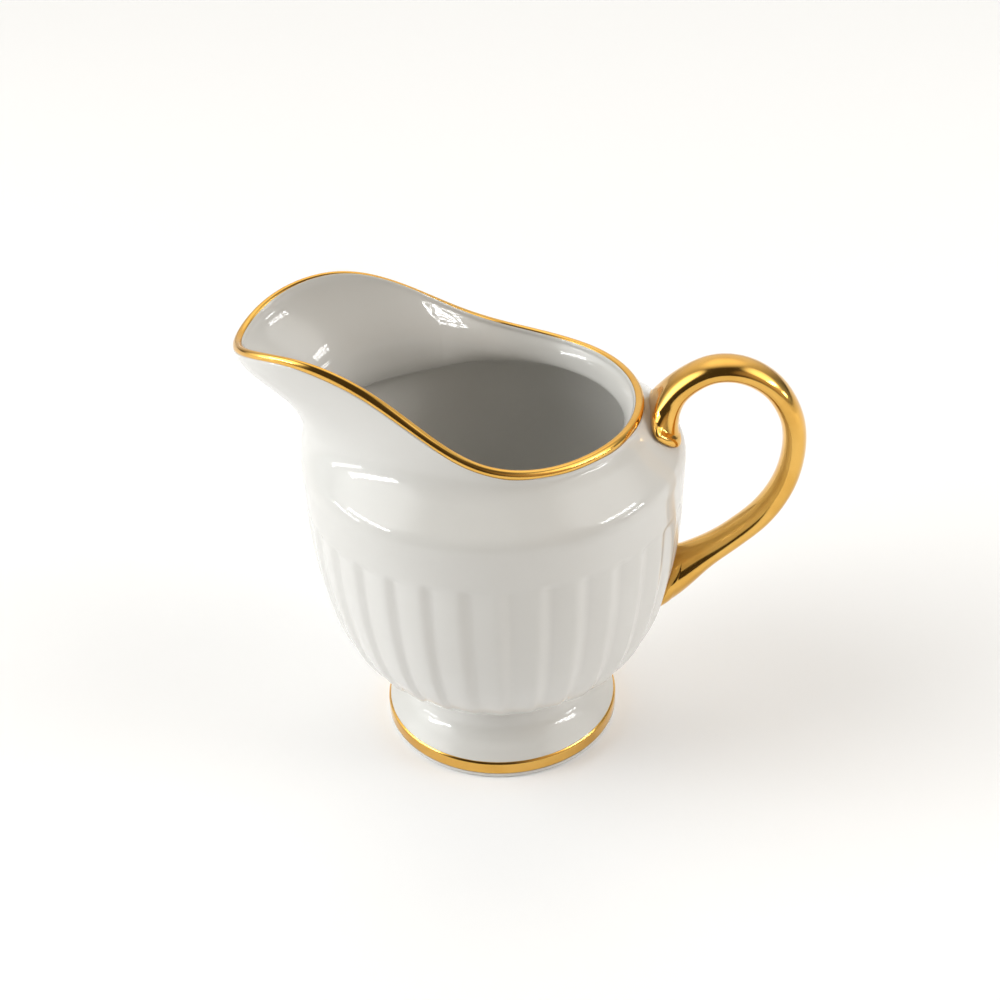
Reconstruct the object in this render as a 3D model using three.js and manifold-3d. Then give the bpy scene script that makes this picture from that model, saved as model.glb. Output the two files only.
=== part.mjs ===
// A porcelain cream jug on a pedestal foot, with a gilded rim, foot edge and loop handle.
// Millimetres, +Z up. The handle is on the +X side, the spout on the -X side, and the XZ plane
// is the plane of symmetry. The group is shifted along X so that its origin is at the middle of
// the jug's length, on the surface that it stands on.
//
// Angles called "azimuth" run round the bowl's axis, in degrees, from 0 at the handle to 180 at
// the spout. The bowl, foot and shoulder are round. The neck runs up from the shoulder to the
// rim, and its rim swells and rises into the spout.
import * as THREE from "three";
import { mergeVertices } from "three/addons/utils/BufferGeometryUtils.js";
import Module from "manifold-3d";

const wasm = await Module();
wasm.setup();

// ---------------------------------------------------------------- driving dimensions
const GAP = 0.3; // clearance kept between pieces that touch on the real jug
const SLIP = 0.5; // thickness of the clay slip that joins two cast pieces
const GILDING = 0.3; // thickness of the gilded bands and of the gilded handle skin
const WALL = 2.6; // thickness of the cast porcelain wall
const LIP = 1.15; // half the thickness of the rounded lip, gilding included
const THROAT = 5; // how far the wall is thickened inwards at the foot of the neck's round part

const FOOT_RADIUS = 28; // widest, at the gilded edge
const FOOT_NECK_RADIUS = 21;
const FOOT_NECK_BORE = 17.8;
const FOOT_HEIGHT = 15.9;
const FOOT_BAND_LOW = 1.3; // heights of the gilded band on the foot
const FOOT_BAND_HIGH = 4.3;
const FOOT_SEGMENTS = 48;

const BOWL_FLOOR = FOOT_HEIGHT + 2 * GAP + SLIP; // underside of the bowl, above the foot joint
const BOWL_FLOOR_RADIUS = 20;
const BOWL_RADIUS = 42.5;
const WALL_TOP = 72.6; // where the upright wall starts to turn in to the shoulder
const SHOULDER_CORNER = 75.4; // height at which the wall and the sloping shoulder would meet
const SHOULDER_ROUND = 2.8; // length of slope taken up by the rounded shoulder corner
const NECK_ROOT = { handle: [35.9, 81.4], spout: [41.8, 80] }; // radius, height of the neck's foot

const PLEATS = 32;
const PLEAT_DEPTH = 0.5;
const PLEAT_STEP = 0.34; // share of a pleat that its steep side takes
const PLEATS_TOP = 65.2; // the pleats end there in a crisp ledge
const PLEAT_PITCH = 360 / PLEATS;

// The outer face of the rim and its crest, as control values of a cubic B-spline every
// 15 degrees of azimuth.
const RIM_STEP = 15;
const RIM_RADIUS = [33.1, 33.1, 33.1, 33.1, 33.2, 33.4, 33.3, 32.4, 32.9, 35.9, 42.8, 52, 55.7];
const RIM_HEIGHT = [86.3, 86.3, 86.3, 86.3, 86.2, 86.7, 88.4, 92.4, 97.7, 103.2, 107.3, 104.9, 100.1];
const RIM_ROUND_RADIUS = 33.1; // radius of the rim's round part
const SPOUT_REACH = 54.6; // radius of the rim at the spout's tip
const RIM_BAND = 1.5; // how far the gilding runs down the outside of the rim
const RIM_GILDED_ARC = 135; // degrees of the rounded lip that are gilded, from its outer face
const RIM_BARE_ARC = 160; // where the lip's bare inner edge begins

const HANDLE_SIDES = 12;
const HANDLE_STEPS = 40;
const HANDLE_CROWDING = 0.8; // how far the handle's sections crowd towards its two ends, 0 to 1
// Middle line of the handle in the XZ plane, from inside the shoulder to inside the wall.
const HANDLE_LINE = [
  [36.5, 74], [36.8, 79], [37.3, 83.2], [40.3, 88.5], [47.2, 92.8], [54, 92.6], [60.4, 88.7],
  [64.8, 81.5], [66, 74], [64.6, 65], [60.5, 57], [54, 50.3], [46, 43.9], [38, 37.4], [33, 33.4],
];
// Half sizes of the handle's section in the loop's plane and across it.
const HANDLE_THICK = { bend: 2.6, arms: 2.7, wall: 4.4 };
const HANDLE_WIDE = { bend: 4.1, arms: 4.5, wall: 6.4 };
const WALL_FLARE = 6; // height above the wall over which the lower arm widens
const HANDLE_ROOT = 1.5; // how deep the untrimmed handle reaches into the bowl
// Flanges at the handle's ends: how far they stand out to the loop's outside, to its inside and
// across it. The way up the porcelain is the loop's outside at the top and its inside below.
const TOP_FLANGE = { outer: 0.3, inner: 4.1, wide: 5.4, upwards: -1 };
const BOTTOM_FLANGE = { outer: 0.5, inner: 0.3, wide: 0.8, upwards: 1 };
const FLANGE_SQUARENESS = 0.4; // 1 for an oval flange, less for one with fuller corners
const FLANGE_TAPER = 0.3; // how much fuller the flange is on the loop's outside
const FLANGE_BEAD = 1.9; // height of the rounded bead that edges the flange
const FLANGE_HOLLOW = 0.7; // how far the foot of the hollow above the bead stands out, of the bead's
const FLANGE_FILLET = 3.2; // height over which the hollow fades out
const BEND_MIDDLE = 0.46; // place of the thinnest section along the handle, 0 to 1
const BEND_SPREAD = 0.2;
const ROOT_SEARCH_STEPS = 20;

// ---------------------------------------------------------------- small helpers
const radians = THREE.MathUtils.degToRad;
const { lerp, clamp } = THREE.MathUtils;
const mix = (a, b, t) => [lerp(a[0], b[0], t), lerp(a[1], b[1], t)];
const along = (a, b, length) => {
  const full = Math.hypot(b[0] - a[0], b[1] - a[1]);
  return mix(a, b, length / full);
};

// A cubic B-spline through evenly spaced control values, mirrored at both ends.
function spline(values, position) {
  const last = values.length - 1;
  const at = (i) => values[last - Math.abs(last - Math.abs(i))];
  const i = Math.floor(position);
  const t = position - i;
  return (
    (at(i - 1) * (1 - t) ** 3 +
      at(i) * (3 * t ** 3 - 6 * t ** 2 + 4) +
      at(i + 1) * (-3 * t ** 3 + 3 * t ** 2 + 3 * t + 1) +
      at(i + 2) * t ** 3) /
    6
  );
}

// ---------------------------------------------------------------- the jug's outer surface
function rimAt(azimuth) {
  const position = azimuth / RIM_STEP;
  return [spline(RIM_RADIUS, position), spline(RIM_HEIGHT, position)];
}

// How much of the pleat's depth is cut away at an azimuth: each pleat falls away slowly
// towards the spout, and rises again over its short steep side.
function pleatCut(azimuth) {
  const place = THREE.MathUtils.euclideanModulo(azimuth / PLEAT_PITCH - 0.5, 1);
  const half = PLEAT_STEP / 2;
  if (place < half) return 0.5 - place / PLEAT_STEP;
  if (place > 1 - half) return 0.5 + (1 - place) / PLEAT_STEP;
  return (place - half) / (1 - PLEAT_STEP);
}

// The bowl's outline from its floor to the shoulder: radius, height.
const BOWL_OUTLINE = [
  [0, BOWL_FLOOR],
  [BOWL_FLOOR_RADIUS, BOWL_FLOOR],
  [25, 18.3],
  [29.7, 20.9],
  [33, 24.1],
  [36.3, 29.6],
  [38.6, 35.5],
  [40.3, 42.5],
  [41.5, 50],
  [42.1, 57.5],
  [42.35, PLEATS_TOP - 0.3],
  [42.35, PLEATS_TOP],
  [BOWL_RADIUS, WALL_TOP],
];
const PLEATED_ROWS = [3, 10]; // rows of the bowl's outline that carry the pleats
const SHOULDER_ROWS = 3;
const NECK_ROWS = 6;

// How far the rim has swelled out into the spout at an azimuth, 0 to 1.
const spoutShare = (azimuth) =>
  clamp((rimAt(azimuth)[0] - RIM_ROUND_RADIUS) / (SPOUT_REACH - RIM_ROUND_RADIUS), 0, 1);

// The meridian of the jug's outside at an azimuth, without pleats, up to the rim's gilding.
function meridian(azimuth) {
  const [rimRadius, rimHeight] = rimAt(azimuth);
  const spout = spoutShare(azimuth);
  const corner = [BOWL_RADIUS, SHOULDER_CORNER];
  const root = mix(NECK_ROOT.handle, NECK_ROOT.spout, spout);
  const turned = along(corner, root, SHOULDER_ROUND);
  const shoulder = new THREE.QuadraticBezierCurve(
    new THREE.Vector2(BOWL_RADIUS, WALL_TOP),
    new THREE.Vector2(...corner),
    new THREE.Vector2(...turned),
  );
  const lip = [rimRadius, rimHeight - RIM_BAND];
  const rise = Math.hypot(lip[0] - root[0], lip[1] - root[1]);
  const leave = along(root, corner, -lerp(0.4, 0.42, spout) * rise);
  const arrive = [lip[0] - 0.04 * rise, lip[1] - lerp(0.4, 0.3, spout) * rise];
  const neck = new THREE.CubicBezierCurve(
    new THREE.Vector2(...root),
    new THREE.Vector2(...leave),
    new THREE.Vector2(...arrive),
    new THREE.Vector2(...lip),
  );
  return [
    ...BOWL_OUTLINE.slice(0, -1),
    ...shoulder.getPoints(SHOULDER_ROWS).map((p) => [p.x, p.y]),
    ...neck.getPoints(NECK_ROWS).map((p) => [p.x, p.y]),
  ];
}

// Azimuths at which the body has vertices, all the way round: the two ends of each pleat's
// steep side, the plane of symmetry, and the middle of each pleat on the spout's half.
function bodyStations() {
  const half = [0, 180];
  for (let k = 0; k < PLEATS / 2; k++) {
    const step = (k + 0.5) * PLEAT_PITCH;
    half.push(step - (PLEAT_STEP / 2) * PLEAT_PITCH, step + (PLEAT_STEP / 2) * PLEAT_PITCH);
    if (k * PLEAT_PITCH >= 90) half.push(k * PLEAT_PITCH);
  }
  half.sort((a, b) => a - b);
  return [...half, ...half.slice(1, -1).reverse().map((a) => 360 - a), 360];
}
const STATIONS = bodyStations();
const mirrored = (azimuth) => (azimuth > 180 ? 360 - azimuth : azimuth);

// A closed ring or shell: one section per station, each a list of [radius, height].
function loft(sectionAt) {
  const sections = STATIONS.map((azimuth) => sectionAt(mirrored(azimuth)));
  const rows = sections[0].length;
  const blank = sections[0].map((_, j) => new THREE.Vector2(j, 0));
  const geometry = new THREE.LatheGeometry(blank, STATIONS.length - 1);
  const position = geometry.getAttribute("position");
  STATIONS.forEach((azimuth, i) => {
    const turn = radians(azimuth % 360);
    sections[i].forEach(([radius, height], j) => {
      position.setXYZ(i * rows + j, radius * Math.cos(turn), radius * Math.sin(turn), height);
    });
  });
  return geometry;
}

// Moves an outline outwards by a distance, square to itself.
function offset(outline, distance) {
  return outline.map(([radius, height], i) => {
    const before = outline[Math.max(i - 1, 0)];
    const after = outline[Math.min(i + 1, outline.length - 1)];
    const run = Math.hypot(after[0] - before[0], after[1] - before[1]);
    const outward = [(after[1] - before[1]) / run, (before[0] - after[0]) / run];
    return [Math.max(radius + distance * outward[0], 0), height + distance * outward[1]];
  });
}

// The meridian with the pleats cut into it.
function outside(azimuth) {
  const cut = PLEAT_DEPTH * pleatCut(azimuth);
  return meridian(azimuth).map(([radius, height], row) => {
    const pleated = row >= PLEATED_ROWS[0] && row <= PLEATED_ROWS[1];
    return [pleated ? radius - cut : radius, height];
  });
}

// ---------------------------------------------------------------- manifold-3d in and out
function solid(geometry) {
  const plain = geometry.clone();
  plain.deleteAttribute("normal");
  plain.deleteAttribute("uv");
  const merged = mergeVertices(plain, 1e-4);
  return new wasm.Manifold(
    new wasm.Mesh({
      numProp: 3,
      vertProperties: merged.getAttribute("position").array,
      triVerts: new Uint32Array(merged.index.array),
    }),
  );
}

function geometryOf(made) {
  const { vertProperties, triVerts } = made.getMesh();
  const geometry = new THREE.BufferGeometry();
  geometry.setAttribute("position", new THREE.BufferAttribute(vertProperties, 3));
  geometry.setIndex(new THREE.BufferAttribute(triVerts, 1));
  geometry.computeVertexNormals();
  return geometry;
}

// A point of the rounded lip, sunk into it by a depth: 0 degrees on its outer face, 180 inside.
function lipPoint(azimuth, depth, turn) {
  const [face, crest] = rimAt(azimuth);
  const reach = LIP - depth;
  return [face - LIP + reach * Math.cos(radians(turn)), crest - LIP + reach * Math.sin(radians(turn))];
}

const lipArc = (azimuth, depth, from, to, steps) =>
  Array.from({ length: steps + 1 }, (_, i) => lipPoint(azimuth, depth, lerp(from, to, i / steps)));

// ---------------------------------------------------------------- cast porcelain
// The bowl, shoulder, neck and spout, in one casting with a hollow inside of the same shape.
function jugBody() {
  return loft((azimuth) => {
    const outer = outside(azimuth);
    const edge = outer.pop();
    const lip = [
      [edge[0], edge[1] - GAP],
      [edge[0] - GILDING - GAP, edge[1] - GAP],
      ...lipArc(azimuth, GILDING + GAP, 0, RIM_GILDED_ARC, 3),
      lipPoint(azimuth, 0, RIM_BARE_ARC),
      lipPoint(azimuth, 0, 180),
    ];
    const thick = offset(meridian(azimuth), -WALL);
    const thin = offset(meridian(azimuth), -2 * LIP);
    const throat = THROAT * (1 - spoutShare(azimuth)) ** 2;
    const inner = thick.map((point, row) => {
      const up = (row - (thick.length - 1 - NECK_ROWS)) / NECK_ROWS;
      const [radius, height] = mix(point, thin[row], clamp(up, 0, 1));
      return [up < 0 ? radius : radius - throat * Math.cos((up * Math.PI) / 2), height];
    });
    inner[0][1] = BOWL_FLOOR + WALL;
    inner.pop();
    return [...outer, ...lip, ...inner.reverse()];
  });
}

// The foot is a separate casting, open at the top and bottom, that flares to its gilded edge.
const FOOT_OUTLINE = [
  [FOOT_RADIUS - 0.6, 0],
  [FOOT_RADIUS - 0.1, 0.5],
  [FOOT_RADIUS, FOOT_BAND_LOW - GAP],
  [FOOT_RADIUS - GILDING - GAP, FOOT_BAND_LOW - GAP],
  [FOOT_RADIUS - GILDING - GAP, FOOT_BAND_HIGH + GAP],
  [FOOT_RADIUS - 0.6, FOOT_BAND_HIGH + GAP],
  [25.6, 6],
  [23.4, 7.6],
  [21.9, 9.4],
  [FOOT_NECK_RADIUS, 12],
  [FOOT_NECK_RADIUS, FOOT_HEIGHT],
];
const FOOT_INSIDE = [
  [FOOT_NECK_BORE, FOOT_HEIGHT],
  [FOOT_NECK_BORE, 11],
  [19.5, 7.5],
  [22.6, 4.6],
  [24.6, 1.8],
  [25.2, 0],
];

function turned(outline) {
  const closed = [...outline, outline[0]].map(([radius, height]) => new THREE.Vector2(radius, height));
  return new THREE.LatheGeometry(closed, FOOT_SEGMENTS).rotateX(Math.PI / 2);
}

// ---------------------------------------------------------------- the handle
const handleCurve = new THREE.CatmullRomCurve3(
  HANDLE_LINE.map(([x, z]) => new THREE.Vector3(x, 0, z)),
  false,
  "centripetal",
);
const shellCorners = meridian(0).map(([radius, height]) => new THREE.Vector3(radius, 0, height));
const shellLines = shellCorners.slice(1).map((end, i) => new THREE.Line3(shellCorners[i], end));

// Height of a point above the jug's unpleated outside near the handle, and the way out there.
function aboveShell(point) {
  const turn = Math.atan2(point.y, point.x);
  const flat = new THREE.Vector3(Math.hypot(point.x, point.y), 0, point.z);
  const nearest = shellLines.map((line) => {
    const gap = flat.clone().sub(line.closestPointToPoint(flat, true, new THREE.Vector3()));
    return { line, gap, length: gap.length() };
  }).reduce((best, next) => (next.length < best.length ? next : best));
  const run = nearest.line.delta(new THREE.Vector3()).normalize();
  const outward = new THREE.Vector3(run.z, 0, -run.x);
  const height = nearest.length * Math.sign(outward.dot(nearest.gap));
  return { height, outward: outward.applyAxisAngle(new THREE.Vector3(0, 0, 1), turn) };
}

// A point of the handle before its flanges: t runs along it, and x and z are its place in a
// section of radius 1, in the loop's plane and across it.
function stemPoint(t, x, z, shrink) {
  const centre = handleCurve.getPointAt(t);
  const across = new THREE.Vector3(0, 1, 0);
  const outward = new THREE.Vector3().crossVectors(across, handleCurve.getTangentAt(t)).negate();
  const bend = Math.exp(-(((t - BEND_MIDDLE) / BEND_SPREAD) ** 2));
  const height = t > BEND_MIDDLE ? Math.max(aboveShell(centre).height, 0) : Infinity;
  const wall = Math.exp(-((height / WALL_FLARE) ** 2));
  const [thick, wide] = [HANDLE_THICK, HANDLE_WIDE].map(
    (half) => lerp(half.arms, half.bend, bend) + (half.wall - half.arms) * wall - shrink,
  );
  return centre.addScaledVector(outward, x * thick).addScaledVector(across, z * wide);
}

// Where a line along the handle is as deep in the bowl as the untrimmed handle reaches.
function rootOf(x, z, shrink, inside, free) {
  for (let i = 0; i < ROOT_SEARCH_STEPS; i++) {
    const t = (inside + free) / 2;
    if (aboveShell(stemPoint(t, x, z, shrink)).height < -HANDLE_ROOT) inside = t;
    else free = t;
  }
  return free;
}

// Moves a point of the stem out along the porcelain to make the flange at its end.
function flanged(point, x, z, shrink, flange) {
  const { height, outward } = aboveShell(point);
  const bead = FLANGE_BEAD - shrink;
  const round = Math.sqrt(Math.max(1 - ((2 * height) / bead - 1) ** 2, 0));
  const hollow = Math.exp(-Math.max(height - bead, 0) / FLANGE_FILLET);
  const full = Math.abs(z) ** FLANGE_SQUARENESS;
  const share = full * lerp(round, hollow, FLANGE_HOLLOW);
  const spread = x * (x > 0 ? flange.outer : flange.inner) * share;
  const along = new THREE.Vector3(outward.z, 0, -outward.x).multiplyScalar(flange.upwards * spread);
  const moved = point.clone().add(along);
  moved.y += Math.sign(z) * (1 + FLANGE_TAPER * x) * flange.wide * share;
  const after = aboveShell(moved);
  return moved.addScaledVector(after.outward, height - after.height);
}

// The handle as a cylinder bent along its middle line, shrunk all round by a distance.
function handleBar(shrink) {
  const bar = new THREE.CylinderGeometry(1, 1, 1, HANDLE_SIDES, HANDLE_STEPS);
  const position = bar.getAttribute("position");
  for (let i = 0; i < position.count; i++) {
    const [x, z] = [position.getX(i), position.getZ(i)];
    const share = clamp(position.getY(i) + 0.5, 0, 1);
    const eased = share - (HANDLE_CROWDING * Math.sin(2 * Math.PI * share)) / (2 * Math.PI);
    const first = rootOf(x, z, shrink, 0, BEND_MIDDLE);
    const last = rootOf(x, z, shrink, 1, BEND_MIDDLE);
    const point = stemPoint(lerp(first, last, eased), x, z, shrink);
    const placed = flanged(point, x, z, shrink, share < 0.5 ? TOP_FLANGE : BOTTOM_FLANGE);
    position.setXYZ(i, placed.x, placed.y, placed.z);
  }
  return solid(bar);
}

// The jug's outside before it is pleated, as a solid, moved outwards by a distance.
function envelope(distance) {
  return solid(loft((azimuth) => {
    const outline = offset(meridian(azimuth), distance);
    return [...outline, [0, outline[outline.length - 1][1]]];
  }));
}

function handlePieces() {
  const landing = envelope(2 * GAP + SLIP);
  const slipZone = envelope(GAP + SLIP).subtract(envelope(GAP));
  const core = handleBar(GILDING + GAP);
  const skin = handleBar(0).subtract(handleBar(GILDING));
  const pads = core.intersect(slipZone).decompose();
  pads.sort((a, b) => b.boundingBox().max[2] - a.boundingBox().max[2]);
  return {
    core: core.subtract(landing),
    skin: skin.subtract(landing),
    topSlip: pads[0],
    bottomSlip: pads[1],
  };
}

// ---------------------------------------------------------------- gilding and foot joint
// The gilded band runs up the outside of the lip, over its crest and down to its inner edge.
function rimGilding() {
  return loft((azimuth) => {
    const [face, crest] = rimAt(azimuth);
    return [
      [face, crest - RIM_BAND],
      ...lipArc(azimuth, 0, 0, RIM_GILDED_ARC, 6),
      ...lipArc(azimuth, GILDING, RIM_GILDED_ARC, 0, 3),
      [face - GILDING, crest - RIM_BAND],
      [face, crest - RIM_BAND],
    ];
  });
}

const footGilding = () => turned([
  [FOOT_RADIUS - GILDING, FOOT_BAND_LOW],
  [FOOT_RADIUS, FOOT_BAND_LOW],
  [FOOT_RADIUS, FOOT_BAND_HIGH - 0.5],
  [FOOT_RADIUS - 0.2, FOOT_BAND_HIGH],
  [FOOT_RADIUS - GILDING - 0.1, FOOT_BAND_HIGH],
]);

const footJointSlip = () => turned([
  [FOOT_NECK_BORE + 0.2, FOOT_HEIGHT + GAP],
  [BOWL_FLOOR_RADIUS - 0.2, FOOT_HEIGHT + GAP],
  [BOWL_FLOOR_RADIUS - 0.2, FOOT_HEIGHT + GAP + SLIP],
  [FOOT_NECK_BORE + 0.2, FOOT_HEIGHT + GAP + SLIP],
]);

// ---------------------------------------------------------------- assembly
const porcelain = { color: 0xdfdfdb, roughness: 0.12, metalness: 0 };
const gold = { color: 0xd9a441, roughness: 0.15, metalness: 1 };
const clay = { color: 0xe8e6df, roughness: 0.6, metalness: 0 };

const handle = handlePieces();
const pieces = [
  ["jug_body", jugBody(), porcelain],
  ["pedestal_foot", turned([...FOOT_OUTLINE, ...FOOT_INSIDE]), porcelain],
  ["foot_joint_slip", footJointSlip(), clay],
  ["handle", geometryOf(handle.core), porcelain],
  ["handle_top_slip", geometryOf(handle.topSlip), clay],
  ["handle_bottom_slip", geometryOf(handle.bottomSlip), clay],
  ["handle_gilding", geometryOf(handle.skin), gold],
  ["rim_gilding", rimGilding(), gold],
  ["foot_gilding", footGilding(), gold],
];

const jug = new THREE.Group();
for (const [name, geometry, finish] of pieces) {
  const mesh = new THREE.Mesh(geometry, new THREE.MeshStandardMaterial(finish));
  mesh.name = name;
  jug.add(mesh);
}
const box = new THREE.Box3().setFromObject(jug);
jug.position.x = -(box.min.x + box.max.x) / 2;

export default jug;
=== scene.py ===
# Cream jug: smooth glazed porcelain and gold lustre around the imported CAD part.
# Lengths in the constants are millimetres; the scene is in metres, in the CAD part's own frame.
# "Azimuth" runs round the bowl's axis, in degrees, from 0 at the handle to 180 at the spout.
import math

import bmesh
import bpy
import numpy as np
from mathutils import Matrix, Vector


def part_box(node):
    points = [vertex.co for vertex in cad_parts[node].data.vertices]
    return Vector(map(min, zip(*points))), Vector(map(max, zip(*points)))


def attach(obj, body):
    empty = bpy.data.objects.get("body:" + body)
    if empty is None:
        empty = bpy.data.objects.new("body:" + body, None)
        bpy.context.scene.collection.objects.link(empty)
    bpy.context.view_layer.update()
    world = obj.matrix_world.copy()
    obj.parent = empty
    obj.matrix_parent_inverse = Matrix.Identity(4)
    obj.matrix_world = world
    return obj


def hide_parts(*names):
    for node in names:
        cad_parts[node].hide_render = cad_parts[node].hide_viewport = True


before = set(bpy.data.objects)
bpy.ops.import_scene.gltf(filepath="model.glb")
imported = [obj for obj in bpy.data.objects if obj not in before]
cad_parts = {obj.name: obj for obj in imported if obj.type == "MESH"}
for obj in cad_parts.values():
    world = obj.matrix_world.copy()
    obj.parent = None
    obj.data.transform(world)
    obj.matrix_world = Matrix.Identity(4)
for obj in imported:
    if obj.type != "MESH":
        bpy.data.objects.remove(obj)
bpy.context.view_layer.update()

MM = 0.001
foot_low, foot_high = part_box("foot_gilding")
AXIS_X = (foot_low.x + foot_high.x) / 2 / MM  # the bowl's axis in the part's frame

# ---------------------------------------------------------------- dimensions, as in the CAD part
GILDING = 0.06  # how far the glaze stands back under the gilding
WALL = 2.6
FOOT_RADIUS, FOOT_NECK_RADIUS, FOOT_NECK_BORE, FOOT_HEIGHT = 28, 21, 17.8, 15.9
FOOT_BAND_LOW, FOOT_BAND_HIGH = 1.3, 4.3
BOWL_FLOOR, BOWL_FLOOR_RADIUS, BOWL_RADIUS = 17.0, 20, 42.5
WALL_TOP, SHOULDER_CORNER, SHOULDER_ROUND = 72.6, 75.4, 2.8
NECK_ROOT_HANDLE, NECK_ROOT_SPOUT = (35.9, 81.4), (41.8, 80)
PLEATS, PLEAT_DEPTH, PLEAT_STEP = 32, 0.5, 0.34
PLEATS_TOP, PLEATS_TOP_RADIUS = 65.2, 42.35
PLEATS_FADE = 18.0, 22.5  # heights between which the pleats fade in above the foot
PLEATS_LEDGE = 0.7  # height of the ledge that ends the pleats
PLEAT_PITCH = 360 / PLEATS
RIM_STEP = 15
RIM_RADIUS = [33.1, 33.1, 33.1, 33.1, 33.2, 33.4, 33.3, 32.4, 32.9, 35.9, 42.8, 52, 55.7]
RIM_HEIGHT = [86.3, 86.3, 86.3, 86.3, 86.2, 86.7, 88.4, 92.4, 97.7, 103.2, 107.3, 104.9, 100.1]
RIM_ROUND_RADIUS, SPOUT_REACH, RIM_BAND = 33.1, 54.6, 1.5
LIP = 1.15  # half the thickness of the rounded lip
THROAT = 5  # how far the wall is thickened inwards at the foot of the neck's round part
RIM_GILDED_ARC = 135  # degrees of the rounded lip that are gilded, from its outer face
SLOPE_ROWS, NECK_ROWS = 6, 36  # rows of the shoulder's slope and of the neck
SHY = 0.045  # how far the finely rounded rim and handle keep inside the CAD part's facets
HANDLE_LINE = [
    (36.5, 74), (36.8, 79), (37.3, 83.2), (40.3, 88.5), (47.2, 92.8), (54, 92.6), (60.4, 88.7),
    (64.8, 81.5), (66, 74), (64.6, 65), (60.5, 57), (54, 50.3), (46, 43.9), (38, 37.4), (33, 33.4),
]
# Half sizes of the handle's section in the loop's plane and across it.
HANDLE_THICK = {"bend": 2.6, "arms": 2.7, "wall": 4.4}
HANDLE_WIDE = {"bend": 4.1, "arms": 4.5, "wall": 6.4}
BEND_MIDDLE, BEND_SPREAD, WALL_FLARE = 0.46, 0.2, 6
# Flanges at the handle's ends: reach to the loop's outside, to its inside and across it.
TOP_FLANGE = {"outer": 0.3, "inner": 4.1, "wide": 5.4, "upwards": -1}
BOTTOM_FLANGE = {"outer": 0.5, "inner": 0.3, "wide": 0.8, "upwards": 1}
FLANGE_SQUARENESS, FLANGE_TAPER = 0.4, 0.3
FLANGE_BEAD, FLANGE_HOLLOW, FLANGE_FILLET = 1.9, 0.7, 3.2
HANDLE_DEPTH = 0.5  # how deep the gilded handle goes into the body

AROUND = 384  # columns of the turned and lofted pieces
HANDLE_SIDES, HANDLE_STEPS = 64, 240
HANDLE_CROWDING = 0.75  # how far the handle's sections crowd towards its two ends, 0 to 1
CURVE_STEPS = 40  # steps of a curve between two of its points, before it is spaced evenly
ROOT_SEARCH_STEPS = 24


def lerp(a, b, t):
    return a + (b - a) * t


def smooth(low, high, x):
    t = np.clip((x - low) / (high - low), 0, 1)
    return t * t * (3 - 2 * t)


def b_spline(values, position):
    """A cubic B-spline through evenly spaced control values, mirrored at both ends."""
    last = len(values) - 1
    i = math.floor(position)
    t = position - i

    def at(k):
        return values[last - abs(last - abs(k))]

    return (
        at(i - 1) * (1 - t) ** 3
        + at(i) * (3 * t**3 - 6 * t**2 + 4)
        + at(i + 1) * (-3 * t**3 + 3 * t**2 + 3 * t + 1)
        + at(i + 2) * t**3
    ) / 6


def through(points, count):
    """A centripetal Catmull-Rom curve through points, as count evenly spaced points."""
    p = np.array(points, float)
    p = np.vstack([2 * p[0] - p[1], p, 2 * p[-1] - p[-2]])
    knots = np.concatenate([[0], np.cumsum(np.linalg.norm(np.diff(p, axis=0), axis=1) ** 0.5)])
    fine = []
    for i in range(1, len(p) - 2):
        t0, t1, t2, t3 = knots[i - 1 : i + 3]
        for t in np.linspace(t1, t2, CURVE_STEPS, endpoint=False):
            a1 = (t1 - t) / (t1 - t0) * p[i - 1] + (t - t0) / (t1 - t0) * p[i]
            a2 = (t2 - t) / (t2 - t1) * p[i] + (t - t1) / (t2 - t1) * p[i + 1]
            a3 = (t3 - t) / (t3 - t2) * p[i + 1] + (t - t2) / (t3 - t2) * p[i + 2]
            b1 = (t2 - t) / (t2 - t0) * a1 + (t - t0) / (t2 - t0) * a2
            b2 = (t3 - t) / (t3 - t1) * a2 + (t - t1) / (t3 - t1) * a3
            fine.append((t2 - t) / (t2 - t1) * b1 + (t - t1) / (t2 - t1) * b2)
    fine.append(p[-2])
    return respaced(np.array(fine), count)


def respaced(line, count):
    run = np.concatenate([[0], np.cumsum(np.linalg.norm(np.diff(line, axis=0), axis=1))])
    at = np.linspace(0, run[-1], count)
    return np.stack([np.interp(at, run, line[:, k]) for k in range(line.shape[1])], axis=1)


def bezier(points, count):
    """A Bezier curve as count points; its first point is left out."""
    t = np.linspace(0, 1, count + 1)[1:, None]
    degree = len(points) - 1
    return sum(
        math.comb(degree, k) * (1 - t) ** (degree - k) * t**k * np.array(p, float)
        for k, p in enumerate(points)
    )


def unit(v):
    return v / np.linalg.norm(v, axis=-1, keepdims=True)


def offset(line, distance):
    """Moves an outline of radius, height points outwards, square to itself."""
    run = unit(np.gradient(line, axis=0))
    moved = line + distance * np.stack([run[:, 1], -run[:, 0]], axis=1)
    moved[:, 0] = np.maximum(moved[:, 0], 0)
    return moved


# ---------------------------------------------------------------- outlines
BOWL_CURVE = through(
    [(BOWL_FLOOR_RADIUS, BOWL_FLOOR), (25, 18.3), (29.7, 20.9), (33, 24.1), (36.3, 29.6),
     (38.6, 35.5), (40.3, 42.5), (41.5, 50), (42.1, 57.5), (PLEATS_TOP_RADIUS, PLEATS_TOP)],
    70,
)


def rim_at(azimuth):
    position = azimuth / RIM_STEP
    return b_spline(RIM_RADIUS, position), b_spline(RIM_HEIGHT, position) - SHY


def spout_share(azimuth):
    """How far the rim has swelled out into the spout at an azimuth, 0 to 1."""
    return np.clip((rim_at(azimuth)[0] - RIM_ROUND_RADIUS) / (SPOUT_REACH - RIM_ROUND_RADIUS), 0, 1)


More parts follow.
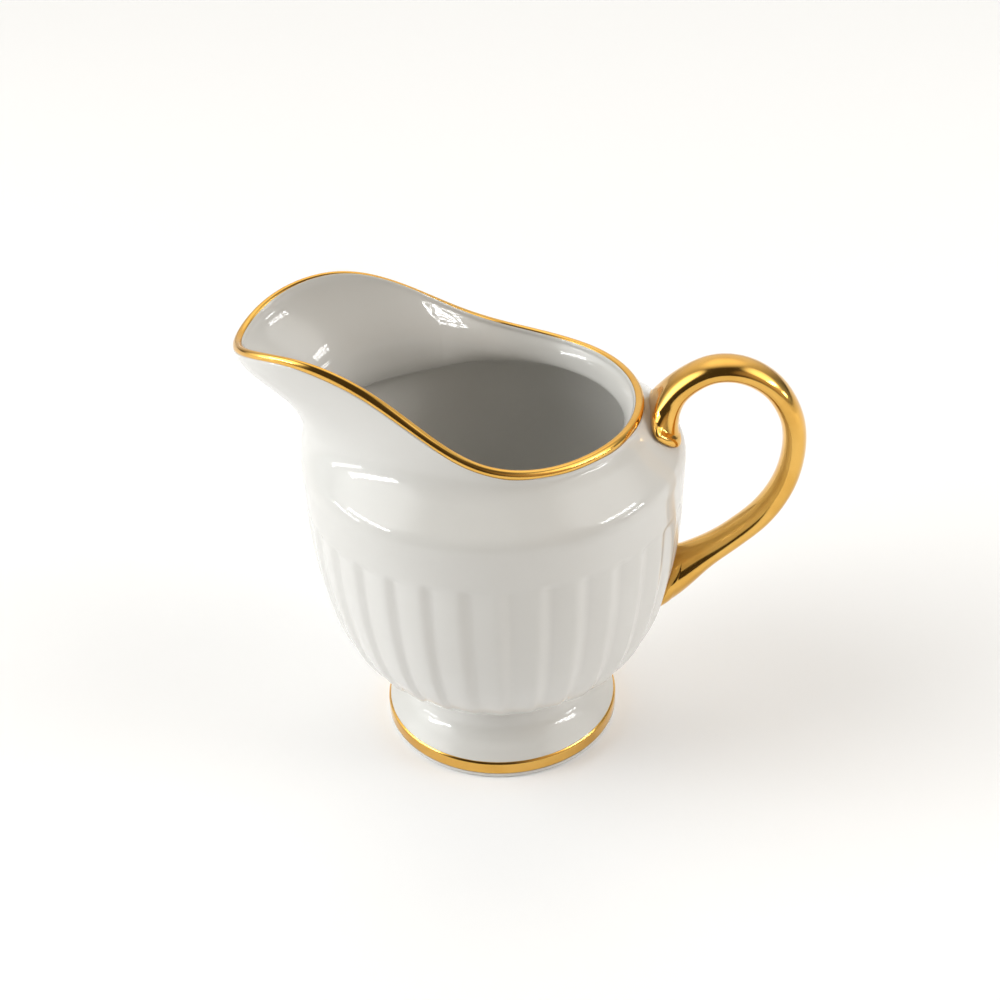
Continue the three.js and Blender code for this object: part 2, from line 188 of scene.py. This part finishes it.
def meridian(azimuth):
    """The jug's outside from the edge of its floor to the lower edge of the rim's gilding."""
    rim_radius, rim_height = rim_at(azimuth)
    spout = spout_share(azimuth)
    corner = np.array([BOWL_RADIUS, SHOULDER_CORNER])
    root = lerp(np.array(NECK_ROOT_HANDLE), np.array(NECK_ROOT_SPOUT), spout)
    slope = unit(root - corner)
    turned = corner + slope * SHOULDER_ROUND
    lip = np.array([rim_radius, rim_height - RIM_BAND])
    rise = np.linalg.norm(lip - root)
    leave = root + slope * lerp(0.4, 0.42, spout) * rise
    arrive = lip - np.array([0.04 * rise, lerp(0.4, 0.3, spout) * rise])
    return np.vstack([
        BOWL_CURVE,
        bezier([(PLEATS_TOP_RADIUS, PLEATS_TOP), (BOWL_RADIUS, WALL_TOP)], 10),
        bezier([(BOWL_RADIUS, WALL_TOP), corner, turned], 14),
        bezier([turned, root], SLOPE_ROWS),
        bezier([root, leave, arrive, lip], NECK_ROWS),
    ])


def pleat_cut(azimuth):
    """Share of the pleat's depth that is cut away: a slow fall and a short steep side."""
    place = (azimuth / PLEAT_PITCH - 0.5) % 1
    half = PLEAT_STEP / 2
    if place < half or place > 1 - half:
        across = place + half if place < half else place + half - 1
        return 1 - float(smooth(0, PLEAT_STEP, across))
    return ((place - half) / (1 - PLEAT_STEP)) ** 1.25


def outside(azimuth):
    line = meridian(azimuth)
    height = line[:, 1]
    depth = smooth(*PLEATS_FADE, height) * (1 - smooth(PLEATS_TOP - PLEATS_LEDGE, PLEATS_TOP, height))
    line[:, 0] -= PLEAT_DEPTH * pleat_cut(azimuth) * depth
    return line


# ---------------------------------------------------------------- mesh makers
def mesh_object(name, points, faces):
    mesh = bpy.data.meshes.new(name)
    mesh.from_pydata([tuple(p) for p in points], [], faces)
    made = bmesh.new()
    made.from_mesh(mesh)
    bmesh.ops.remove_doubles(made, verts=made.verts, dist=1e-7)
    bmesh.ops.recalc_face_normals(made, faces=made.faces)
    made.to_mesh(mesh)
    made.free()
    mesh.shade_smooth()
    piece = bpy.data.objects.new(name, mesh)
    bpy.context.scene.collection.objects.link(piece)
    return piece


def grid_faces(columns, rows, close_rows):
    faces = []
    for i in range(columns):
        for j in range(rows if close_rows else rows - 1):
            a, b = i * rows + j, i * rows + (j + 1) % rows
            c, d = (i + 1) % columns * rows + (j + 1) % rows, (i + 1) % columns * rows + j
            faces.append((a, b, c, d))
    return faces


def loft(name, section_at, close=False):
    """A piece round the bowl's axis, from a section of radius, height points at each azimuth."""
    points = []
    for i in range(AROUND):
        turn = 360 * i / AROUND
        angle = math.radians(turn)
        for radius, height in section_at(min(turn, 360 - turn)):
            points.append(((AXIS_X + radius * math.cos(angle)) * MM, radius * math.sin(angle) * MM,
                           height * MM))
    rows = len(points) // AROUND
    return mesh_object(name, points, grid_faces(AROUND, rows, close))


# ---------------------------------------------------------------- pieces
def arc(centre, start, end, radius, steps):
    """Points round a centre, by angle in degrees, in the radius and height plane."""
    turns = np.radians(np.linspace(start, end, steps))
    return np.array(centre) + radius * np.stack([np.cos(turns), np.sin(turns)], axis=1)


def lip_curve(azimuth, shrink, start, end, steps):
    """The rounded lip, sunk by a distance: 0 degrees on its outer face, 180 inside."""
    rim_radius, crest = rim_at(azimuth)
    return arc((rim_radius - LIP, crest - LIP), start, end, LIP - shrink, steps)


def body_section(azimuth):
    """Up the outside, over the lip and down the inside, from the axis back to the axis."""
    outer = outside(azimuth)
    lip = lip_curve(azimuth, GILDING, 0, RIM_GILDED_ARC, 16)
    white = lip_curve(azimuth, 0, RIM_GILDED_ARC + 3, 180, 6)
    row = np.arange(len(outer)) - (len(outer) - 1 - NECK_ROWS)
    up = row / NECK_ROWS
    thinning = np.clip(up, 0, 1)[:, None]
    inner = lerp(offset(meridian(azimuth), -WALL), offset(meridian(azimuth), -2 * LIP), thinning)
    narrowing = np.where(row < 0, np.clip(1 + row / SLOPE_ROWS, 0, 1), np.cos(up * np.pi / 2))
    inner[:, 0] -= THROAT * (1 - spout_share(azimuth)) ** 2 * narrowing
    inner[0] = (BOWL_FLOOR_RADIUS - 1, BOWL_FLOOR + WALL)
    tuck = outer[-1] - np.array([GILDING, 0])
    floor_edge = [(0, BOWL_FLOOR), (10, BOWL_FLOOR)]
    return np.vstack([floor_edge, outer, tuck, lip, white, inner[:-1][::-1],
                      [(10, BOWL_FLOOR + WALL), (0, BOWL_FLOOR + WALL)]])


def rim_gold_section(azimuth):
    """The rim's gilding; its lower edge wanders a little, as a band painted by hand does."""
    rim_radius, crest = rim_at(azimuth)
    turn = math.radians(azimuth)
    wander = 0.12 * math.sin(turn * 7) + 0.08 * math.sin(turn * 17)
    skirt = [(rim_radius - 0.12, crest - RIM_BAND + wander),
             (rim_radius, crest - RIM_BAND + 0.04 + wander)]
    over = lip_curve(azimuth, 0, 0, RIM_GILDED_ARC, 24)
    under = lip_curve(azimuth, 0.3, RIM_GILDED_ARC, 0, 10)
    return np.vstack([skirt, over, under])


body = loft("body", body_section)
rim_gold = loft("rim_gold", rim_gold_section, close=True)

foot_outside = np.vstack([
    arc((FOOT_RADIUS - 0.7, 0.7), -90, 0, 0.7, 8),
    [(FOOT_RADIUS, FOOT_BAND_LOW), (FOOT_RADIUS - GILDING, FOOT_BAND_LOW + 0.02),
     (FOOT_RADIUS - GILDING, FOOT_BAND_HIGH - 0.5)],
    through([(27.7, FOOT_BAND_HIGH), (27.2, 4.75), (25.6, 6), (23.4, 7.6), (21.9, 9.4), (21.1, 12),
             (FOOT_NECK_RADIUS, 14.5), (FOOT_NECK_RADIUS, FOOT_HEIGHT)], 50),
    [(20.6, FOOT_HEIGHT + 0.35)],
])
foot_inside = np.vstack([
    [(FOOT_NECK_BORE, FOOT_HEIGHT + 0.35)],
    through([(FOOT_NECK_BORE, FOOT_HEIGHT), (FOOT_NECK_BORE, 11), (19.5, 7.5), (22.6, 4.6),
             (24.6, 1.8), (25.2, 0.35)], 30),
    [(25.5, 0)],
])
foot = loft("foot", lambda azimuth: np.vstack([foot_outside, foot_inside]), close=True)
foot_gold = loft("foot_gold", lambda azimuth: np.vstack([
    [(FOOT_RADIUS - 0.2, FOOT_BAND_LOW), (FOOT_RADIUS, FOOT_BAND_LOW + 0.05)],
    bezier([(FOOT_RADIUS, FOOT_BAND_LOW + 0.05), (FOOT_RADIUS, FOOT_BAND_HIGH - 0.6)], 6),
    bezier([(FOOT_RADIUS, FOOT_BAND_HIGH - 0.6), (FOOT_RADIUS, 4.2), (27.55, 4.55)], 8),
    [(27.4, 4.45), (27.5, 3.6)],
]), close=True)
foot_joint = loft("foot_joint", lambda azimuth: np.vstack([
    arc((FOOT_NECK_RADIUS - 0.3, FOOT_HEIGHT + 0.5), -100, 100, 0.75, 14),
    [(18.2, FOOT_HEIGHT + 1.1), (18.2, FOOT_HEIGHT)],
]), close=True)


# The handle: sections square to its middle line, trimmed where it enters the body.
MIDDLE = through(HANDLE_LINE, 1201)
REACH = np.concatenate([[0], np.cumsum(np.linalg.norm(np.diff(MIDDLE, axis=0), axis=1))])
SHELL = meridian(0)


def above_shell(points):
    """Height of points above the body's unpleated outside, and the way out there."""
    radius = np.hypot(points[:, 0], points[:, 1])
    here = np.stack([radius, points[:, 2]], axis=1)[:, None]
    start, run = SHELL[:-1], np.diff(SHELL, axis=0)
    share = np.clip(np.sum((here - start) * run, axis=2) / np.sum(run**2, axis=1), 0, 1)
    gap = here - start - share[:, :, None] * run
    length = np.linalg.norm(gap, axis=2)
    nearest = np.argmin(length, axis=1)
    each = np.arange(len(points))
    way = unit(run)[nearest]
    outward = np.stack([way[:, 1], -way[:, 0]], axis=1)
    height = length[each, nearest] * np.sign(np.sum(outward * gap[each, nearest], axis=1))
    flat = points[:, :2] / radius[:, None]
    return height, np.column_stack([outward[:, :1] * flat, outward[:, 1]])


def stem_points(t, x, z):
    """The handle before its flanges, at shares t of its length and places x, z in its section."""
    run, near = t * REACH[-1], 0.4

    def middle(at):
        return np.stack([np.interp(at, REACH, MIDDLE[:, k]) for k in (0, 1)], axis=1)

    centre = middle(run)
    way = unit(middle(np.minimum(run + near, REACH[-1])) - middle(np.maximum(run - near, 0)))
    bend = np.exp(-(((t - BEND_MIDDLE) / BEND_SPREAD) ** 2))
    height, _ = above_shell(np.column_stack([centre[:, 0], np.zeros(len(t)), centre[:, 1]]))
    wall = np.where(t > BEND_MIDDLE, np.exp(-((np.maximum(height, 0) / WALL_FLARE) ** 2)), 0)
    thick, wide = (
        lerp(half["arms"], half["bend"], bend) + (half["wall"] - half["arms"]) * wall - SHY
        for half in (HANDLE_THICK, HANDLE_WIDE)
    )
    return np.column_stack([
        centre[:, 0] - way[:, 1] * thick * x, wide * z, centre[:, 1] + way[:, 0] * thick * x,
    ])


def root_of(x, z, inside):
    """Where each line along the handle is as deep in the body as the handle goes."""
    inside, free = np.full(len(x), float(inside)), np.full(len(x), BEND_MIDDLE)
    for _ in range(ROOT_SEARCH_STEPS):
        t = (inside + free) / 2
        deep = above_shell(stem_points(t, x, z))[0] < -HANDLE_DEPTH
        inside, free = np.where(deep, t, inside), np.where(deep, free, t)
    return free


def flanged(points, x, z, flange):
    """Moves points of the stem out along the porcelain, to make the flange at that end."""
    height, outward = above_shell(points)
    round_edge = np.sqrt(np.maximum(1 - (2 * height / FLANGE_BEAD - 1) ** 2, 0))
    hollow = np.exp(-np.maximum(height - FLANGE_BEAD, 0) / FLANGE_FILLET)
    share = np.abs(z) ** FLANGE_SQUARENESS * lerp(round_edge, hollow, FLANGE_HOLLOW)
    spread = flange["upwards"] * x * np.where(x > 0, flange["outer"], flange["inner"]) * share
    moved = points + np.stack([outward[:, 2], 0 * x, -outward[:, 0]], axis=1) * spread[:, None]
    moved[:, 1] += np.sign(z) * (1 + FLANGE_TAPER * x) * flange["wide"] * share
    after, outward = above_shell(moved)
    return moved + outward * (height - after)[:, None]


turns = 2 * np.pi * np.arange(HANDLE_SIDES) / HANDLE_SIDES
section_x, section_z = np.cos(turns), np.sin(turns)
first, last = root_of(section_x, section_z, 0), root_of(section_x, section_z, 1)
shares = np.linspace(0, 1, HANDLE_STEPS + 1)
eased = shares - HANDLE_CROWDING * np.sin(2 * np.pi * shares) / (2 * np.pi)
columns = []
for side in range(HANDLE_SIDES):
    x, z = np.full(len(eased), section_x[side]), np.full(len(eased), section_z[side])
    stem = stem_points(lerp(first[side], last[side], eased), x, z)
    half = len(eased) // 2
    columns.append(np.vstack([
        flanged(stem[:half], x[:half], z[:half], TOP_FLANGE),
        flanged(stem[half:], x[half:], z[half:], BOTTOM_FLANGE),
    ]))
handle_points = (np.vstack(columns) + (AXIS_X, 0, 0)) * MM
rows = HANDLE_STEPS + 1
handle_faces = grid_faces(HANDLE_SIDES, rows, False)
handle_faces.append([side * rows for side in range(HANDLE_SIDES)])
handle_faces.append([side * rows + rows - 1 for side in range(HANDLE_SIDES)])
handle_gold = mesh_object("handle_gold", handle_points, handle_faces)


# ---------------------------------------------------------------- materials
def material(name):
    made = bpy.data.materials.new(name)
    made.use_nodes = True
    return made, made.node_tree.nodes, made.node_tree.links


def add_node(nodes, kind, **values):
    """A shader node with some inputs set; an underscore in an input's name stands for a space."""
    node = nodes.new("ShaderNode" + kind)
    for name, value in values.items():
        node.inputs[name.replace("_", " ")].default_value = value
    return node


def add_ramp(nodes, *stops):
    """A colour ramp between two stops, each a position and a colour."""
    ramp = nodes.new("ShaderNodeValToRGB")
    for element, (position, colour) in zip(ramp.color_ramp.elements, stops):
        element.position, element.color = position, colour
    return ramp


def add_math(nodes, operation, value=0.5):
    node = nodes.new("ShaderNodeMath")
    node.operation = operation
    node.inputs[1].default_value = value
    return node


def glaze(name, light, dark, roughness):
    """Glossy glaze over white porcelain: faint mottling, a soft unevenness and rare tiny specks."""
    made, nodes, links = material(name)
    shader = nodes["Principled BSDF"]
    place = nodes.new("ShaderNodeTexCoord").outputs["Object"]
    mottle = add_node(nodes, "TexNoise", Scale=45, Detail=4)
    ramp = add_ramp(nodes, (0.3, dark), (0.7, light))
    specks = add_node(nodes, "TexVoronoi", Scale=90)
    spot = add_node(nodes, "MapRange", From_Min=0.02, From_Max=0.035)
    chance = nodes.new("ShaderNodeTexWhiteNoise")
    no_speck = add_math(nodes, "LESS_THAN", 0.985)
    clear = add_math(nodes, "MAXIMUM")
    blend = nodes.new("ShaderNodeMix")
    blend.data_type = "RGBA"
    blend.inputs["A"].default_value = (0.35, 0.31, 0.27, 1)
    wave = add_node(nodes, "TexNoise", Scale=60, Detail=2)
    bump = add_node(nodes, "Bump", Strength=0.12, Distance=0.0004)
    for texture in (mottle, specks, wave):
        links.new(place, texture.inputs["Vector"])
    links.new(mottle.outputs["Fac"], ramp.inputs["Fac"])
    links.new(specks.outputs["Distance"], spot.inputs["Value"])
    links.new(specks.outputs["Color"], chance.inputs["Vector"])
    links.new(chance.outputs["Value"], no_speck.inputs[0])
    links.new(spot.outputs["Result"], clear.inputs[0])
    links.new(no_speck.outputs["Value"], clear.inputs[1])
    links.new(clear.outputs["Value"], blend.inputs["Factor"])
    links.new(ramp.outputs["Color"], blend.inputs["B"])
    links.new(blend.outputs["Result"], shader.inputs["Base Color"])
    links.new(wave.outputs["Fac"], bump.inputs["Height"])
    links.new(bump.outputs["Normal"], shader.inputs["Normal"])
    shader.inputs["Roughness"].default_value = roughness
    shader.inputs["IOR"].default_value = 1.5
    return made


def lustre(name):
    """Fired gold: worn a little thinner in places, with fine brush marks."""
    made, nodes, links = material(name)
    shader = nodes["Principled BSDF"]
    place = nodes.new("ShaderNodeTexCoord").outputs["Object"]
    wear = add_node(nodes, "TexNoise", Scale=110, Detail=5)
    tint = add_ramp(nodes, (0.35, (0.72, 0.40, 0.085, 1)), (0.65, (0.80, 0.47, 0.115, 1)))
    rough = add_node(nodes, "MapRange", To_Min=0.09, To_Max=0.19)
    marks = add_node(nodes, "TexNoise", Scale=160)
    bump = add_node(nodes, "Bump", Strength=0.1, Distance=0.0003)
    for texture in (wear, marks):
        links.new(place, texture.inputs["Vector"])
    links.new(wear.outputs["Fac"], tint.inputs["Fac"])
    links.new(wear.outputs["Fac"], rough.inputs["Value"])
    links.new(tint.outputs["Color"], shader.inputs["Base Color"])
    links.new(rough.outputs["Result"], shader.inputs["Roughness"])
    links.new(marks.outputs["Fac"], bump.inputs["Height"])
    links.new(bump.outputs["Normal"], shader.inputs["Normal"])
    shader.inputs["Metallic"].default_value = 1.0
    return made


PORCELAIN = glaze("porcelain", (0.69, 0.685, 0.665, 1), (0.67, 0.664, 0.642, 1), 0.025)
SLIP = glaze("slip", (0.74, 0.735, 0.71, 1), (0.70, 0.695, 0.67, 1), 0.3)
GOLD = lustre("gold")

for piece, nodes_replaced, slot, made in (
    (body, ["jug_body"], "porcelain", PORCELAIN),
    (foot, ["pedestal_foot"], "porcelain", PORCELAIN),
    (foot_joint, ["foot_joint_slip"], "slip", SLIP),
    (rim_gold, ["rim_gilding"], "gold", GOLD),
    (foot_gold, ["foot_gilding"], "gold", GOLD),
    (handle_gold, ["handle_gilding"], "gold", GOLD),
):
    piece.data.materials.append(made)
    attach(piece, "root")
    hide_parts(*nodes_replaced)
for node, slot, made in (
    ("handle", "porcelain", PORCELAIN),
    ("handle_top_slip", "slip", SLIP),
    ("handle_bottom_slip", "slip", SLIP),
):
    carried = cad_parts[node]
    carried.data.materials.clear()
    carried.data.materials.append(made)

# ---------------------------------------------------------------- stage, light and camera
FLOOR = 20.0  # half the floor's side
floor_mesh = bpy.data.meshes.new("floor")
corners = [(-FLOOR, -FLOOR, 0), (FLOOR, -FLOOR, 0), (FLOOR, FLOOR, 0), (-FLOOR, FLOOR, 0)]
floor_mesh.from_pydata(corners, [], [(0, 1, 2, 3)])
floor = bpy.data.objects.new("floor", floor_mesh)
bpy.context.scene.collection.objects.link(floor)
floor_paint, floor_nodes, _ = material("floor_paint")
floor_shader = floor_nodes["Principled BSDF"]
floor_shader.inputs["Base Color"].default_value = (0.9, 0.905, 0.92, 1)
floor_shader.inputs["Roughness"].default_value = 0.9
floor_shader.inputs["Emission Color"].default_value = (0.96, 0.98, 1, 1)
floor_shader.inputs["Emission Strength"].default_value = 0.05
floor.data.materials.append(floor_paint)

# The room as seen from the jug: soft patches of light, with azimuth to the right of the camera.
SKY_LIGHTS = (
    # azimuth, elevation, angle of the even middle, angle of the faded edge, colour
    (-92, 18, 8, 42, (1.5, 1.57, 1.57)),
    (-88, 40, 6, 28, (2.5, 2.5, 2.44)),
    (86, 24, 10, 46, (0.25, 0.28, 0.31)),
    (82, 42, 6, 28, (1.85, 1.83, 1.74)),
    (48, 26, 8, 38, (0.45, 0.35, 0.25)),
    (178, 34, 12, 60, (0.98, 0.94, 0.88)),
    (175, 66, 6, 34, (0.62, 0.6, 0.55)),
    (0, 60, 60, 180, (0.07, 0.06, 0.045)),
)
CAMERA_AZIMUTH = -86  # where the camera stands in the part's frame, degrees from +X


def direction_to(azimuth, elevation):
    """A unit vector, with azimuth to the right of the camera."""
    turn, rise = math.radians(CAMERA_AZIMUTH + azimuth), math.radians(elevation)
    return Vector((math.cos(turn) * math.cos(rise), math.sin(turn) * math.cos(rise), math.sin(rise)))


world = bpy.data.worlds.new("studio")
bpy.context.scene.world = world
world.use_nodes = True
sky, sky_links = world.node_tree.nodes, world.node_tree.links
direction = sky.new("ShaderNodeTexCoord").outputs["Generated"]
light_sum = None
for azimuth, elevation, even, faded, colour in SKY_LIGHTS:
    facing = sky.new("ShaderNodeVectorMath")
    facing.operation = "DOT_PRODUCT"
    facing.inputs[1].default_value = direction_to(azimuth, elevation)
    fade = add_node(sky, "MapRange", From_Min=math.cos(math.radians(faded)),
                    From_Max=math.cos(math.radians(even)))
    fade.interpolation_type = "SMOOTHSTEP"
    shine = sky.new("ShaderNodeVectorMath")
    shine.operation = "SCALE"
    shine.inputs[0].default_value = colour
    sky_links.new(direction, facing.inputs[0])
    sky_links.new(facing.outputs["Value"], fade.inputs["Value"])
    sky_links.new(fade.outputs["Result"], shine.inputs["Scale"])
    if light_sum is None:
        light_sum = shine.outputs["Vector"]
    else:
        add = sky.new("ShaderNodeVectorMath")
        sky_links.new(light_sum, add.inputs[0])
        sky_links.new(shine.outputs["Vector"], add.inputs[1])
        light_sum = add.outputs["Vector"]
sky_links.new(light_sum, sky["Background"].inputs["Color"])


WINDOW_TARGET = Vector((0, 0, 0.07))
WINDOW_DISTANCE = 0.9


def window(name, azimuth, elevation, size, power, panes):
    """A softbox with crossbars and leaves before it, seen in the glaze as a broken white patch."""
    data = bpy.data.lights.new(name, "AREA")
    data.shape = "RECTANGLE"
    data.size, data.size_y = size
    data.energy = power
    data.use_nodes = True
    nodes, links = data.node_tree.nodes, data.node_tree.links
    across = nodes.new("ShaderNodeNewGeometry").outputs["Parametric"]
    white, black = (1, 1, 1, 1), (0, 0, 0, 1)
    bars = add_node(nodes, "TexBrick", Color1=white, Color2=white, Mortar=black, Scale=1,
                    Mortar_Size=0.02, Brick_Width=1 / panes[0], Row_Height=1 / panes[1])
    bars.offset = 0
    leaves = add_node(nodes, "TexNoise", Scale=11, Detail=5)
    gaps = add_node(nodes, "MapRange", From_Min=0.47, From_Max=0.55, To_Max=2.4)
    both = add_math(nodes, "MULTIPLY")
    links.new(across, bars.inputs["Vector"])
    links.new(across, leaves.inputs["Vector"])
    links.new(leaves.outputs["Fac"], gaps.inputs["Value"])
    links.new(bars.outputs["Color"], both.inputs[0])
    links.new(gaps.outputs["Result"], both.inputs[1])
    links.new(both.outputs["Value"], nodes["Emission"].inputs["Strength"])
    lamp = bpy.data.objects.new(name, data)
    way = direction_to(azimuth, elevation)
    lamp.location = WINDOW_TARGET + way * WINDOW_DISTANCE
    lamp.rotation_euler = (-way).to_track_quat("-Z", "Y").to_euler()
    bpy.context.scene.collection.objects.link(lamp)


window("window_left", -77, 25, (0.42, 0.11), 2.4, (6, 2))
window("window_left_low", -88, 12, (0.3, 0.08), 0.8, (4, 2))
window("window_right", 75, 27, (0.38, 0.11), 1.6, (5, 2))
window("window_right_low", 82, 12, (0.24, 0.08), 0.6, (3, 2))

# The camera stands in front of the jug and a little above it, with the handle turned towards it.
EYE = (1.092, -277.088, 242.228)  # millimetres from the foot's middle, before the jug is turned
TILT, ROLL, JUG_TURN = math.radians(33.44), math.radians(-2.0), math.radians(-4.0)
SENSOR, LENS = 36, 52.64
right = np.array([1, 0, 0])
down = np.array([0, -math.sin(TILT), -math.cos(TILT)])
forward = np.array([0, math.cos(TILT), -math.sin(TILT)])
right, down = (math.cos(ROLL) * right - math.sin(ROLL) * down,
               math.sin(ROLL) * right + math.cos(ROLL) * down)
spin = np.array(Matrix.Rotation(-JUG_TURN, 3, "Z"))
eye = spin @ np.array(EYE)
camera_data = bpy.data.cameras.new("camera")
camera_data.sensor_width, camera_data.lens = SENSOR, LENS
camera_data.clip_start, camera_data.clip_end = 0.01, 60
camera = bpy.data.objects.new("camera", camera_data)
axes = np.stack([spin @ right, -(spin @ down), -(spin @ forward)], axis=1)
pose = np.eye(4)
pose[:3, :3] = axes
pose[:3, 3] = (eye + (AXIS_X, 0, 0)) * MM
camera.matrix_world = Matrix(pose.tolist())
bpy.context.scene.collection.objects.link(camera)
bpy.context.scene.camera = camera
bpy.context.scene.view_settings.view_transform = "Standard"

bpy.context.view_layer.update()
